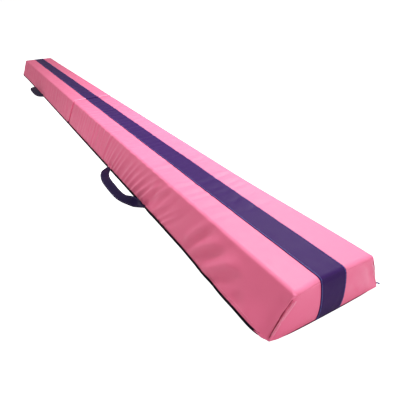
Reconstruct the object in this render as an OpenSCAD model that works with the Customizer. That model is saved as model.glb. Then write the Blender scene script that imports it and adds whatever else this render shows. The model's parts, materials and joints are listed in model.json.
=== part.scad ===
// Folding floor balance beam. Two foam-filled vinyl halves are joined by a sewn hinge along the top of
// the fold, and each half has a carry handle on one long edge and a zipped seam on the other.
// The origin is on the floor, at the middle of the length and of the base width. +X runs along the beam
// into the right half, -Y is the handle side and +Z is up. All sizes are in millimetres.

/* [Beam] */
// Overall length of the unfolded beam
beam_l = 2440; // [2200:20:2700]
// Width of the base on the floor
base_w = 226; // [210:2:250]
// Width across the top, measured where the sloping sides would meet it
top_w = 148; // [130:2:160]
// Height from the floor to the top of the cover
beam_h = 80; // [74:1:100]
// Radius of the cover's rounded top edges
edge_r = 8; // [5:0.5:12]

/* [Cover and stripe] */
// Thickness of the vinyl cover
cover_t = 0.8; // [0.5:0.1:1]
// Width of the centre stripe
stripe_w = 49; // [40:1:60]
// Thickness of the centre stripe
stripe_t = 0.8; // [0.5:0.1:1]

/* [Base] */
// Thickness of the non-slip base sheet
base_t = 1.2; // [0.8:0.1:1.2]
// Height of the base sheet's turned-up edges
band_h = 4.5; // [4.2:0.1:4.8]
// Thickness of the turned-up edges
band_t = 1; // [0.6:0.1:1]
// Distance by which the turned-up edges stop short of the outer corners
band_short = 10; // [8:1:20]

/* [Foam core] */
// Clearance between the foam and the cover
core_play = 1.2; // [1.2:0.1:1.6]
// Height of the glue line between the two foam boards
split_z = 40; // [30:1:50]

/* [Fold] */
// Clear gap between the two halves
fold_gap = 3; // [3:0.1:4]
// Radius of the rolled hinge bead
bead_r = 1.4; // [1:0.1:1.4]
// Depth of the flaps that sew the hinge to each half
flap_h = 14; // [10:1:24]

/* [Handles] */
// Distance of each handle's middle from the fold
handle_x = 635; // [500:5:700]
// Half the span between the outer edges of a handle's two ends
handle_half = 141; // [120:1:160]
// Width of the handle strap
strap_w = 25; // [22:1:30]
// Thickness of the doubled handle strap
strap_t = 2.4; // [1.8:0.1:2.4]
// How far the right handle's loop stands out from its hinge line
bow_right = 39; // [34:1:50]
// How far the left handle's loop stands out from its hinge line
bow_left = 28; // [27:1:50]
// Length of strap sewn in under the foam at each end
tab_l = 36; // [20:1:50]

/* [Zip] */
// Distance of the zip's centre line up the side from the floor edge
zip_up = 10; // [10:0.5:12]
// Distance of the zip's fold end from the fold
zip_start = 40; // [30:5:80]
// Distance of the zip's outer end from the beam's end
zip_end_in = 26; // [24:1:60]
// Width of each zip tape above the coil
tape_w = 12; // [10:1:14]
// Length of the zip's pull tab
pull_l = 21; // [15:1:30]

/* [Hidden] */
$fn = 48;
ARC_STEPS = 8;
CURVE_STEPS = 36;

half_l = beam_l / 2;
lean = atan((base_w - top_w) / 2 / beam_h);
play = 0.1;
fold_x = fold_gap / 2;
hinge_z = beam_h + 0.1 + bead_r;

// Sheets sit inside one another in this order: base edge, cover, foam. The stripe lies outside the cover.
cover_inset = band_t + play;
cover_end = half_l - stripe_t - play;
cover_z = base_t + play;
core_inset = cover_t + core_play;
core_z = base_t + 0.4;
panel_t = 0.8;

// The handle straps lie just above the base sheet and turn about a line just outside the base edge.
strap_z = base_t + play + strap_t / 2;
strap_y = base_w / 2 + 2;
inner_half = handle_half - strap_w - 12;
tab_x = (handle_half + inner_half) / 2;
slot_l = handle_half - inner_half + 2;
slot_z = strap_z - strap_t / 2 - play / 2;
slot_h = strap_t + play;
tab_start = strap_t / 2 + 0.9;

// Across the zip, y is the distance down from its centre line and z the height above the cover's face.
zip_stop_x = half_l - zip_end_in;
split_half = 0.5;
coil_w = 2.2;
coil_z = -0.95;
coil_h = 1.6;
coil_chamfer = 0.5;
tape_t = 0.6;
tape_z = coil_z - 0.05 - tape_t;
opening_half = split_half + coil_w + 0.7;
slider_l = 9.5;
slider_w = 8;
plate_t = 0.8;
plate_top_z = coil_z + coil_h + 0.2;
plate_low_z = tape_z - 0.2 - plate_t;
neck_w = 0.5;
neck_l = 4;
post_y = 2.2;
post_t = 0.8;
post_l = 2.4;
pin_r = 0.6;
pin_z = plate_top_z + plate_t + 2;
eye_r = 1.6;
eye_play = 0.08;
eye_w = 3.2;
pull_w = 6;
pull_t = 1.2;
pull_neck = 2.5;
stop_l = 3;
slider_x = zip_stop_x - slider_l / 2 - 1;

PINK = [0.93, 0.50, 0.66];
PINK_DEEP = [0.85, 0.40, 0.56];
VIOLET = [0.30, 0.21, 0.45];
NAVY = [0.07, 0.06, 0.11];
FOAM = [0.93, 0.93, 0.90];
TAPE = [0.20, 0.18, 0.45];
METAL = [0.70, 0.70, 0.73];

// Distance from the centre plane to a long side at height z, moved in by inset along its normal.
function side_y(z, inset) = base_w / 2 - z * tan(lean) - inset / cos(lean);

// Points of an arc about c, with both ends.
function arc(c, r, from, to) =
  [for (i = [0:ARC_STEPS]) let (a = from + (to - from) * i / ARC_STEPS) c + r * [cos(a), sin(a)]];

// The beam's cross-section in Y and Z, moved in by inset, from z0 up to its rounded top edges.
function cross_section(inset, z0) =
  let (
    r = edge_r - inset,
    side_inset = cover_inset + inset,
    zc = beam_h - inset - r,
    yc = side_y(zc, side_inset + r),
    y0 = side_y(z0, side_inset)
  )
  concat([[-y0, z0], [y0, z0]], arc([yc, zc], r, lean, 90), arc([-yc, zc], r, 90, 180 - lean));

// The right half's long section in X and Z, moved in by inset, from x0 out to its rounded end.
function long_section(inset, x0, z0) =
  let (r = edge_r - inset, x1 = cover_end - inset, z1 = beam_h - inset)
  concat([[x0, z1], [x0, z0], [x1, z0]], arc([x1 - r, z1 - r], r, 0, 90));

// A smooth bow from x = -half to x = half that stands out by height in the middle.
function bow(half, height, power) =
  [for (i = [0:CURVE_STEPS]) let (t = 2 * i / CURVE_STEPS - 1) [half * t, -height * (1 - pow(abs(t), power))]];

function reversed(points) = [for (i = [len(points) - 1:-1:0]) points[i]];

module in_left_half() mirror([1, 0, 0]) children();

module along_x(length) rotate([90, 0, 90]) linear_extrude(length) children();

module along_y(length) translate([0, length / 2, 0]) rotate([90, 0, 0]) linear_extrude(length) children();

// The right half's closed outer form, moved in by inset.
module form(inset, x0, z0)
  intersection() {
    along_x(half_l) polygon(cross_section(inset, z0));
    along_y(base_w) polygon(long_section(inset, x0, z0));
  }

// Places children with X along the zip, Y down the sloping side from its centre line and Z outwards.
module at_zip(x = 0)
  translate([x, side_y(0, cover_inset) - zip_up * sin(lean), zip_up * cos(lean)])
    rotate([lean - 90, 0, 0]) children();

module bar(x0, x1, y0, y1, z0, z1) translate([x0, y0, z0]) cube([x1 - x0, y1 - y0, z1 - z0]);

// Places children at the two ends of the right handle, on its hinge line.
module at_strap_ends()
  for (x = [-tab_x, tab_x]) translate([handle_x + x, -strap_y, 0]) children();

module strap_slots()
  at_strap_ends() bar(-slot_l / 2, slot_l / 2, -1, 8, slot_z, slot_z + slot_h);

module cover()
  color(PINK) difference() {
    form(0, fold_x, cover_z);
    form(cover_t, 0, 0);
    strap_slots();
    at_zip() bar(zip_start - 10, zip_stop_x + 10, -opening_half, 2 * zip_up, -3, 3);
  }

module fold_panel()
  color(PINK_DEEP) intersection() {
    form(cover_t + play, 0, cover_z);
    bar(fold_x, fold_x + panel_t, -base_w, base_w, 0, beam_h);
  }

module stripe()
  color(VIOLET) along_y(stripe_w) difference() {
    polygon(long_section(-play - stripe_t, fold_x, 0.6));
    polygon(long_section(-play, 0, 0));
  }

module base()
  color(NAVY) difference() {
    union() {
      bar(fold_x, cover_end, -side_y(0, 0), side_y(0, 0), 0, base_t);
      for (side = [0, 1]) mirror([0, side, 0]) translate([fold_x, 0, 0])
        along_x(cover_end - band_short - fold_x) polygon([
          [side_y(0, 0), 0], [side_y(band_h, 0), band_h],
          [side_y(band_h, band_t), band_h], [side_y(0, band_t), 0]
        ]);
    }
    strap_slots();
  }

// The solid foam of the right half between two heights, cut back for the zip and the strap ends.
module core_board(z0, z1)
  color(FOAM) difference() {
    intersection() {
      form(core_inset, fold_x + panel_t + 0.6, core_z);
      bar(0, half_l, -base_w, base_w, z0, z1);
    }
    at_zip() bar(-1, half_l, -opening_half - 3, 2 * zip_up, plate_low_z - 0.4, 5);
    at_strap_ends() bar(-strap_w / 2 - 1, strap_w / 2 + 1, -1, tab_l + 5, 0, slot_z + slot_h + 0.3);
  }

module core_lower() core_board(core_z, split_z - play / 2);

module core_upper() core_board(split_z + play / 2, beam_h);

module handle(height)
  color(VIOLET) translate([handle_x, -strap_y, strap_z]) {
    translate([0, 0, -strap_t / 2]) linear_extrude(strap_t) polygon(concat(
      bow(handle_half, height, 4),
      reversed(bow(inner_half, height - strap_w, 3))
    ));
    for (x = [-handle_half, inner_half]) translate([x, 0, 0])
      rotate([0, 90, 0]) cylinder(r = strap_t / 2, h = handle_half - inner_half);
  }

module handle_tabs()
  color(VIOLET) at_strap_ends()
    bar(-strap_w / 2, strap_w / 2, tab_start, tab_l, strap_z - strap_t / 2, strap_z + strap_t / 2);

module zip_tapes()
  color(TAPE) at_zip() {
    bar(zip_start - 8, zip_stop_x + 8, -tape_w - split_half, -split_half, tape_z, tape_z + tape_t);
    bar(zip_start - 8, zip_stop_x + 8, split_half, zip_up - 2.2, tape_z, tape_z + tape_t);
  }

module zip_coil()
  color(TAPE) at_zip(zip_start) for (side = [0, 1]) mirror([0, side, 0])
    along_x(zip_stop_x - zip_start) translate([split_half, coil_z]) polygon([
      [0, 0], [coil_w, 0], [coil_w, coil_h - coil_chamfer],
      [coil_w - coil_chamfer, coil_h], [coil_chamfer, coil_h], [0, coil_h - coil_chamfer]
    ]);

module zip_stops()
  color(METAL) for (x = [zip_start - stop_l - 0.5, zip_stop_x + 0.5])
    at_zip(x) bar(0, stop_l, -split_half - coil_w, split_half + coil_w, coil_z, coil_z + coil_h);

module zip_slider()
  color(METAL) at_zip(slider_x) {
    for (z = [plate_top_z, plate_low_z])
      bar(-slider_l / 2, slider_l / 2, -slider_w / 2, slider_w / 2, z, z + plate_t);
    bar(-neck_l / 2, neck_l / 2, -neck_w / 2, neck_w / 2, plate_low_z, plate_top_z + plate_t);
    for (y = [-post_y, post_y])
      bar(-post_l / 2, post_l / 2, y - post_t / 2, y + post_t / 2, plate_top_z, pin_z + 1);
    translate([0, post_y, pin_z]) rotate([90, 0, 0]) cylinder(r = pin_r, h = 2 * post_y);
  }

module zip_pull()
  color(METAL) at_zip(slider_x) translate([0, 0, pin_z]) difference() {
    union() {
      translate([0, eye_w / 2, 0]) rotate([90, 0, 0]) cylinder(r = eye_r, h = eye_w);
      bar(-pull_neck - 1, 0, -eye_w / 2, eye_w / 2, -pull_t / 2, pull_t / 2);
      bar(-pull_l + pull_w / 2, -pull_neck, -pull_w / 2, pull_w / 2, -pull_t / 2, pull_t / 2);
      translate([-pull_l + pull_w / 2, 0, -pull_t / 2]) cylinder(r = pull_w / 2, h = pull_t);
    }
    translate([0, eye_w, 0]) rotate([90, 0, 0]) cylinder(r = pin_r + eye_play, h = 2 * eye_w);
  }

module hinge_flap()
  color(PINK_DEEP) bar(0.75, fold_x - 0.15, -top_w / 2 + edge_r, top_w / 2 - edge_r, beam_h - flap_h, beam_h);

module hinge_bead()
  color(PINK) translate([0, top_w / 2 - edge_r, hinge_z])
    rotate([90, 0, 0]) cylinder(r = bead_r, h = top_w - 2 * edge_r);

module right_core_lower() core_lower();
module right_core_upper() core_upper();
module right_cover() cover();
module right_fold_panel() fold_panel();
module right_stripe() stripe();
module right_base() base();
module right_handle() handle(bow_right);
module right_handle_tabs() handle_tabs();
module right_zip_tapes() zip_tapes();
module right_zip_coil() zip_coil();
module right_zip_stops() zip_stops();
module right_zip_slider() zip_slider();
module right_zip_pull() zip_pull();
module right_hinge_flap() hinge_flap();

module left_core_lower() in_left_half() core_lower();
module left_core_upper() in_left_half() core_upper();
module left_cover() in_left_half() cover();
module left_fold_panel() in_left_half() fold_panel();
module left_stripe() in_left_half() stripe();
module left_base() in_left_half() base();
module left_handle() in_left_half() handle(bow_left);
module left_handle_tabs() in_left_half() handle_tabs();
module left_zip_tapes() in_left_half() zip_tapes();
module left_zip_coil() in_left_half() zip_coil();
module left_zip_stops() in_left_half() zip_stops();
module left_zip_slider() in_left_half() zip_slider();
module left_zip_pull() in_left_half() zip_pull();
module left_hinge_flap() in_left_half() hinge_flap();

left_core_lower();
left_core_upper();
left_cover();
left_fold_panel();
left_stripe();
left_base();
left_handle();
left_handle_tabs();
left_zip_tapes();
left_zip_coil();
left_zip_stops();
left_zip_slider();
left_zip_pull();
left_hinge_flap();
hinge_bead();
right_hinge_flap();
right_core_lower();
right_core_upper();
right_cover();
right_fold_panel();
right_stripe();
right_base();
right_handle();
right_handle_tabs();
right_zip_tapes();
right_zip_coil();
right_zip_stops();
right_zip_slider();
right_zip_pull();
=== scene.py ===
"""Visual model of a folding floor balance beam: wrinkled vinyl covers, sewn stripe, straps, zips and base,
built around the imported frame. Everything is in metres, in the frame's own axes: +X along the beam to the
right half, -Y the handle side, +Z up. Each half is built in the right half's place, and one is mirrored."""
import json
import math
from itertools import product

import bpy
import numpy as np
from mathutils import Matrix, Vector
from mathutils.bvhtree import BVHTree


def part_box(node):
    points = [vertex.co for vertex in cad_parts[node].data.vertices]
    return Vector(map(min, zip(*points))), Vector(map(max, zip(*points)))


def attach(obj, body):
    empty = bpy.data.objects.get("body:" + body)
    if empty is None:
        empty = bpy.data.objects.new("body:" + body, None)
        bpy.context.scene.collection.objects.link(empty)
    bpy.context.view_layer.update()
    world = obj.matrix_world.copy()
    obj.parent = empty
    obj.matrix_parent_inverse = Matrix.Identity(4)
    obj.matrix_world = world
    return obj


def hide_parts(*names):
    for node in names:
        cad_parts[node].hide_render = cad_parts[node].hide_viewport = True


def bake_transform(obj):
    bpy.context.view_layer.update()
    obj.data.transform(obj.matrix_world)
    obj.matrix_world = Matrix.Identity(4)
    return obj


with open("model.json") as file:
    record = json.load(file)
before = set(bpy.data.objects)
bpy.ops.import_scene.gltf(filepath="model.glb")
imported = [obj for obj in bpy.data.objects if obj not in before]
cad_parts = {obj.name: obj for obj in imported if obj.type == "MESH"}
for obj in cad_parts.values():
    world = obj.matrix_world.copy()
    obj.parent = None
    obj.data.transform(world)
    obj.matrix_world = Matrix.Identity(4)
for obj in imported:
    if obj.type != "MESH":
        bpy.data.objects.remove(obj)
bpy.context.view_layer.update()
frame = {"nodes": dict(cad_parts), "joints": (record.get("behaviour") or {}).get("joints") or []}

# ---- places taken from the frame
MM = 0.001
JOINTS = {j["name"]: j for j in frame["joints"]}
COVER_LO, COVER_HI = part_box("right_cover")
STRIPE_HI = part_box("right_stripe")[1]
BASE_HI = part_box("right_base")[1]
BEAD_LO, BEAD_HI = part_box("hinge_bead")
COIL_LO, COIL_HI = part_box("right_zip_coil")

FOLD_X = COVER_LO.x
END_X = COVER_HI.x
TOP_Z = COVER_HI.z
BAND_Z = BASE_HI.z
STRIPE_HALF = STRIPE_HI.y
EDGE_R = 8 * MM

# The zip pull's hinge axis lies straight down the sloping side, so it gives the side's lean.
PULL_AXIS = Vector(JOINTS["right_pull_flip"]["axis"])
PULL_PIN = Vector(JOINTS["right_pull_flip"]["pos_m"])
LEAN = math.atan2(PULL_AXIS.y, -PULL_AXIS.z)
SIDE_LENGTH = TOP_Z / math.cos(LEAN)
HANDLE_HINGE = Vector(JOINTS["right_handle_swing"]["pos_m"])
HANDLE_X = HANDLE_HINGE.x
FOLD_AXIS = Vector(JOINTS["fold_hinge"]["pos_m"])

# What differs between the halves: the right half is slacker.
LOOK = {
    "left": {
        "turn_in": (1.0 * MM, 2.0 * MM),  # how far the cover turns in at the fold, and over what length
        "flare": 2.5 * MM,  # how far the lower edges stand out near the outer end
        "slump": 2.0 * MM,  # how far the outer end leans to the zip side
        "hollow": 1.0 * MM,  # depth of the hollow for the flipped zip pull
        "ripple": 0.30,  # strength of the ripples on the top
        "seeds": (35, 43, 53),  # for the zip side, the top and the end face
        "strap": 16.5 * MM,  # half of the handle strap's width
    },
    "right": {
        "turn_in": (7.5 * MM, 8.0 * MM),
        "flare": 5.0 * MM,
        "slump": 8.3 * MM,
        "hollow": 3.4 * MM,
        "ripple": 0.85,
        "seeds": (31, 41, 51),
        "strap": 12.2 * MM,
    },
}


def half_width(z):
    """Half of the cover's width at height z, on its flat sloping sides."""
    return COVER_HI.y - (z - COVER_LO.z) * math.tan(LEAN)


# ---- small maths helpers
def smooth(edge0, edge1, x):
    """0 below edge0, 1 above edge1, with a smooth rise between them."""
    t = np.clip((np.asarray(x, float) - edge0) / (edge1 - edge0), 0, 1)
    return t * t * (3 - 2 * t)


def span(x, start, full, fall, end):
    """1 from full to fall, fading to 0 at start and at end."""
    return smooth(start, full, x) * (1 - smooth(fall, end, x))


def bell(x, centre, width):
    """A smooth bump of height 1 at centre."""
    return np.exp(-(((np.asarray(x, float) - centre) / width) ** 2))


def waves(q, wavelength, seed):
    """Irregular waves along q, between about -1 and 1, with the given mean wavelength."""
    rng = np.random.default_rng(seed)
    total = np.zeros_like(np.asarray(q, float))
    for ratio in (0.61, 0.83, 1.0, 1.43):
        total = total + np.sin(2 * math.pi * q / (wavelength * ratio) + rng.uniform(0, 2 * math.pi))
    return total / 2.2


def ridges(q, wavelength, seed, uneven=0.40):
    """Rounded folds with narrow creases between them, irregular in width and height."""
    phase = q / wavelength + uneven * waves(q, 4.3 * wavelength, seed)
    height = 0.75 + 0.25 * waves(q, 3.1 * wavelength, seed + 100)
    return height * ((np.abs(np.sin(math.pi * phase)) + 0.03) ** 0.75 - 0.65)


def power(value, exponent):
    """value raised to exponent, with its sign kept."""
    return math.copysign(abs(value) ** exponent, value)


def graded(length, step, first, last, growth=1.35):
    """Distances from 0 to length, about step apart, and closer at both ends."""
    def ramp(start):
        out = [0.0]
        size = start
        while size < step:
            out.append(out[-1] + size)
            size *= growth
        return out

    head = ramp(first)
    tail = [length - value for value in reversed(ramp(last))]
    count = max(2, round((tail[0] - head[-1]) / step))
    middle = np.linspace(head[-1], tail[0], count + 1)[1:-1]
    return np.concatenate([head, middle, tail])


def travelled(points):
    """Distance along a path of points, from 0 at its first."""
    steps = np.linalg.norm(np.diff(points, axis=0), axis=1)
    return np.concatenate([[0], np.cumsum(steps)])


def resampled(at, travel, rows):
    """The rows of a path, read at other distances along it."""
    return np.stack([np.interp(at, travel, rows[:, k]) for k in range(3)], 1)


def evened(path, passes):
    """The path with its inner points drawn towards their neighbours."""
    for _ in range(passes):
        path[1:-1] = (path[:-2] + 2 * path[1:-1] + path[2:]) / 4
    return path


def unit(rows):
    """Each row scaled to length 1."""
    return rows / np.linalg.norm(rows, axis=-1, keepdims=True)


# ---- mesh helpers
def mesh_object(name, points, faces, material, smooth_shading=True):
    """A new mesh object in the scene."""
    mesh = bpy.data.meshes.new(name)
    mesh.from_pydata([tuple(p) for p in points], [], [tuple(f) for f in faces])
    mesh.update()
    obj = bpy.data.objects.new(name, mesh)
    bpy.context.scene.collection.objects.link(obj)
    mesh.materials.append(material)
    for polygon in mesh.polygons:
        polygon.use_smooth = smooth_shading
    return obj


def points_of(mesh):
    """The mesh's points as an array."""
    flat = np.empty(len(mesh.vertices) * 3)
    mesh.vertices.foreach_get("co", flat)
    return flat.reshape(-1, 3)


def set_points(obj, points):
    """Moves the object's points."""
    obj.data.vertices.foreach_set("co", np.asarray(points, np.float32).ravel())
    obj.data.update()


def normals_of(obj):
    """The normals at the object's points as an array."""
    flat = np.empty(len(obj.data.vertices) * 3, np.float32)
    obj.data.vertex_normals.foreach_get("vector", flat)
    return flat.reshape(-1, 3).astype(float)


def bake(obj):
    """Applies the modifiers."""
    graph = bpy.context.evaluated_depsgraph_get()
    graph.update()
    baked = bpy.data.meshes.new_from_object(obj.evaluated_get(graph))
    baked.name = obj.name
    obj.modifiers.clear()
    obj.data = baked


def subdivide(obj, levels=1):
    """Rounds the mesh by subdivision."""
    modifier = obj.modifiers.new("subdivide", "SUBSURF")
    modifier.levels = modifier.render_levels = levels
    bake(obj)


def thicken(obj, thickness, offset=-1.0):
    """Gives a sheet its thickness, inwards from its outer face."""
    modifier = obj.modifiers.new("thickness", "SOLIDIFY")
    modifier.thickness = thickness
    modifier.offset = offset
    modifier.use_even_offset = False
    bake(obj)


def grid_faces(rows, columns, wrap=False):
    """Quads of a grid of points stored row by row. With wrap, the last column joins the first."""
    faces = []
    for i in range(rows - 1):
        for j in range(columns if wrap else columns - 1):
            a = i * columns + j
            b = i * columns + (j + 1) % columns
            faces.append((a, b, b + columns, a + columns))
    return faces


def tube_faces(rings, around):
    """Faces of a closed tube with flat ends."""
    faces = grid_faces(rings, around, wrap=True)
    faces.append(tuple(reversed(range(around))))
    faces.append(tuple((rings - 1) * around + k for k in range(around)))
    return faces


def turned(faces):
    """The faces with their other side out."""
    return [tuple(reversed(face)) for face in faces]


def mirror(obj, half):
    """Mirrors an object that was built in the right half's place, if it belongs to the left half."""
    if half == "left":
        obj.data.transform(Matrix.Diagonal((-1, 1, 1, 1)))
        obj.data.flip_normals()
        obj.data.update()


def fit(obj, half, slot, *nodes, part="half"):
    """Puts a finished piece on its half, to ride on one of the half's bodies. It stands for the CAD nodes."""
    mirror(obj, half)
    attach(obj, f"{half}_{part}")
    if nodes:
        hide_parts(*(f"{half}_{node}" for node in nodes))


# ---- materials
class Shader:
    """A material's node tree, with short calls for the nodes that the materials here share."""

    def __init__(self, name):
        self.material = bpy.data.materials.new(name)
        self.material.use_nodes = True
        self.tree = self.material.node_tree
        self.surface = self.tree.nodes["Principled BSDF"]
        self.place = self.add("ShaderNodeTexCoord").outputs["Object"]

    def feed(self, socket, value):
        """Links or sets one input."""
        if isinstance(value, bpy.types.NodeSocket):
            self.tree.links.new(value, socket)
        else:
            socket.default_value = value

    def add(self, kind, inputs=None, **settings):
        """A new node with its settings and inputs."""
        node = self.tree.nodes.new(kind)
        for key, value in settings.items():
            setattr(node, key, value)
        for key, value in (inputs or {}).items():
            self.feed(node.inputs[key], value)
        return node

    def finish(self, **values):
        """Feeds the surface's inputs and returns the material."""
        for key, value in values.items():
            self.feed(self.surface.inputs[key.replace("_", " ")], value)
        return self.material

    def noise(self, scale, detail=3.0, roughness=0.5, stretch=None):
        place = self.place
        if stretch:
            place = self.add("ShaderNodeMapping", {"Vector": place, "Scale": stretch}).outputs["Vector"]
        values = {"Vector": place, "Scale": scale, "Detail": detail, "Roughness": roughness}
        return self.add("ShaderNodeTexNoise", values).outputs["Fac"]

    def cells(self, scale):
        values = {"Vector": self.place, "Scale": scale}
        return self.add("ShaderNodeTexVoronoi", values, feature="SMOOTH_F1").outputs["Distance"]

    def bands(self, scale, direction, distortion=0.0):
        values = {"Vector": self.place, "Scale": scale, "Distortion": distortion}
        node = self.add("ShaderNodeTexWave", values, wave_type="BANDS", bands_direction=direction)
        return node.outputs["Fac"]

    def fit(self, value, low, high, start=0.0, end=1.0):
        """Maps value from start..end to low..high."""
        values = {"Value": value, "From Min": start, "From Max": end, "To Min": low, "To Max": high}
        return self.add("ShaderNodeMapRange", values).outputs["Result"]

    def maths(self, operation, a, b=0.0):
        return self.add("ShaderNodeMath", {0: a, 1: b}, operation=operation).outputs["Value"]

    def mix(self, share, a, b):
        """Mixes two colours."""
        colours = [c if isinstance(c, bpy.types.NodeSocket) else (*c, 1.0) for c in (a, b)]
        inputs = {0: share, 6: colours[0], 7: colours[1]}
        return self.add("ShaderNodeMix", inputs, data_type="RGBA").outputs[2]

    def bump(self, height, distance, strength=1.0, under=None):
        values = {"Height": height, "Distance": distance, "Strength": strength}
        if under is not None:
            values["Normal"] = under
        return self.add("ShaderNodeBump", values).outputs["Normal"]

    def edges(self, low=0.5, high=0.56):
        """1 on raised edges and 0 elsewhere."""
        pointiness = self.add("ShaderNodeNewGeometry").outputs["Pointiness"]
        return self.fit(pointiness, 0.0, 1.0, low, high)


def scaled(colour, factor):
    """A lighter or darker colour."""
    return [min(1.0, c * factor) for c in colour]


def vinyl(name, colour, worn, roughness=0.5, shine=0.19):
    """Coated fabric: fine leather-like grain, faint cloudiness and slightly paler worn edges."""
    s = Shader(name)
    cloud = s.fit(s.noise(5.0, 4.0), 0.0, 1.0, 0.35, 0.65)
    tone = s.mix(cloud, scaled(colour, 0.965), scaled(colour, 1.03))
    tone = s.mix(s.maths("MULTIPLY", s.edges(), 0.3), tone, worn)
    pebble = s.maths("ADD", s.cells(1300.0), s.maths("MULTIPLY", s.noise(2600.0, 2.0), 0.5))
    creping = s.bump(s.noise(160.0, 3.0), 0.30 * MM, 0.25)
    return s.finish(
        Base_Color=tone,
        Roughness=s.fit(s.noise(60.0, 3.0), roughness - 0.05, roughness + 0.06, 0.3, 0.7),
        Specular_IOR_Level=shine,
        Normal=s.bump(pebble, 0.1 * MM, 0.35, creping),
    )


def thread(name, colour):
    """Twisted sewing thread."""
    s = Shader(name)
    fuzz = s.fit(s.noise(1500.0, 3.0), 0.0, 1.0, 0.3, 0.7)
    return s.finish(
        Base_Color=s.mix(fuzz, scaled(colour, 0.8), scaled(colour, 1.1)),
        Roughness=0.55,
        Sheen_Weight=0.3,
        Normal=s.bump(s.bands(900.0, "DIAGONAL"), 0.1 * MM, 0.5),
    )


def base_sheet():
    """Black non-slip sheet with a fine raised dot pattern and dusty high spots."""
    s = Shader("base_sheet")
    dust = s.fit(s.noise(30.0, 5.0), 0.0, 1.0, 0.45, 0.75)
    return s.finish(
        Base_Color=s.mix(dust, (0.0025, 0.002, 0.005), (0.006, 0.005, 0.010)),
        Specular_IOR_Level=0.03,
        Roughness=s.fit(s.noise(90.0), 0.6, 0.8),
        Normal=s.bump(s.cells(420.0), 0.3 * MM, 0.6),
    )


def foam():
    """Closed-cell foam board with fine cells and cut marks."""
    s = Shader("foam")
    cell = s.cells(700.0)
    return s.finish(
        Base_Color=s.mix(s.fit(cell, 0.0, 1.0, 0.0, 0.6), (0.74, 0.75, 0.72), (0.9, 0.9, 0.87)),
        Roughness=0.8,
        Subsurface_Weight=0.05,
        Normal=s.bump(cell, 0.4 * MM, 0.5, s.bump(s.bands(120.0, "Z", 2.0), 0.2 * MM, 0.2)),
    )


def woven_tape():
    """Herringbone zip tape."""
    s = Shader("zip_tape")
    weave = s.maths("MULTIPLY", s.bands(420.0, "X", 1.0), s.bands(420.0, "Z", 1.0))
    return s.finish(
        Base_Color=s.mix(weave, (0.020, 0.022, 0.15), (0.045, 0.05, 0.34)),
        Roughness=0.75,
        Sheen_Weight=0.1,
        Normal=s.bump(weave, 0.15 * MM, 0.7),
    )


def nylon():
    """Moulded nylon of the zip coil."""
    s = Shader("zip_nylon")
    return s.finish(
        Base_Color=s.mix(s.noise(200.0), (0.022, 0.022, 0.12), (0.04, 0.04, 0.2)),
        Roughness=s.fit(s.noise(400.0), 0.3, 0.45),
        Normal=s.bump(s.noise(900.0), 0.05 * MM, 0.3),
    )


def plated_metal():
    """Plated zinc with fine scratches and darker, worn edges."""
    s = Shader("zip_metal")
    scratch = s.noise(300.0, 4.0, 0.6, (1.0, 12.0, 12.0))
    return s.finish(
        Base_Color=s.mix(s.edges(0.5, 0.6), (0.62, 0.62, 0.64), (0.42, 0.38, 0.33)),
        Metallic=1.0,
        Roughness=s.fit(scratch, 0.18, 0.42, 0.3, 0.7),
        Normal=s.bump(scratch, 0.04 * MM, 0.3),
    )


# The brightness that shows as white.
WHITE = 1.3


def floor_paint():
    """Plain pale studio floor. The camera sees it nearly white, with a faint shadow under the beam."""
    s = Shader("studio_floor")
    return s.finish(
        Base_Color=s.mix(s.noise(2.0), (0.6, 0.6, 0.61), (0.63, 0.63, 0.63)),
        Roughness=0.75,
        Specular_IOR_Level=0.2,
        Emission_Color=(1.0, 1.0, 1.0, 1.0),
        Emission_Strength=s.fit(s.add("ShaderNodeLightPath").outputs["Is Camera Ray"], 0.0, WHITE),
    )


pink_vinyl = vinyl("pink_vinyl", (0.70, 0.125, 0.229), (0.78, 0.22, 0.34))
violet_vinyl = vinyl("violet_vinyl", (0.0260, 0.0085, 0.0640), (0.04, 0.02, 0.09), 0.42, 0.045)
strap_vinyl = vinyl("strap_vinyl", (0.0070, 0.0030, 0.0200), (0.018, 0.012, 0.05), 0.42, 0.05)
# The fold's roll is painted paler than the cover: a painted highlight along its ridge.
bead_highlight_vinyl = vinyl("bead_highlight_vinyl", (0.78, 0.27, 0.40), (0.85, 0.38, 0.48))
# Deep red for the strips down the outer corners: painted shade of the seam's crease.
seam_shade_vinyl = vinyl("seam_shade_vinyl", (0.24, 0.016, 0.045), (0.3, 0.03, 0.07), shine=0.1)
pink_thread = thread("pink_thread", (0.80, 0.36, 0.46))
hem_thread = thread("hem_thread", (0.74, 0.19, 0.30))
blue_thread = thread("blue_thread", (0.055, 0.075, 0.33))
strap_thread = thread("strap_thread", (0.02, 0.014, 0.06))
black_sheet = base_sheet()
foam_board = foam()
zip_cloth = woven_tape()
zip_nylon = nylon()
zip_metal = plated_metal()


# ---- the covers' form
SIDE_ROWS = 18
ARC_ROWS = 6
END_ARC_ROWS = 6
STEP = 4.5 * MM
ARC_Z = TOP_Z - EDGE_R
ARC_Y = half_width(ARC_Z) - EDGE_R / math.cos(LEAN)
HEM_Z = BAND_Z - 0.4 * MM
TIP_Z = 0.9 * MM
OPENING_UP = 13.2 * MM
OPENING_X = (COIL_LO.x - 4.5 * MM, COIL_HI.x + 9 * MM)
OPENING_FADE = 4 * MM


def lower_edge(x, handle_side):
    """Height of the cover's lower edge: at the base band, or above the coil where the zip opens."""
    low = HEM_Z - (HEM_Z - TIP_Z) * smooth(END_X - 23 * MM, END_X - 12 * MM, x)
    if handle_side:
        return low
    start, end = OPENING_X
    opened = span(x, start - OPENING_FADE, start, end, end + OPENING_FADE)
    return low + opened * (OPENING_UP * math.cos(LEAN) - low)


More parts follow.
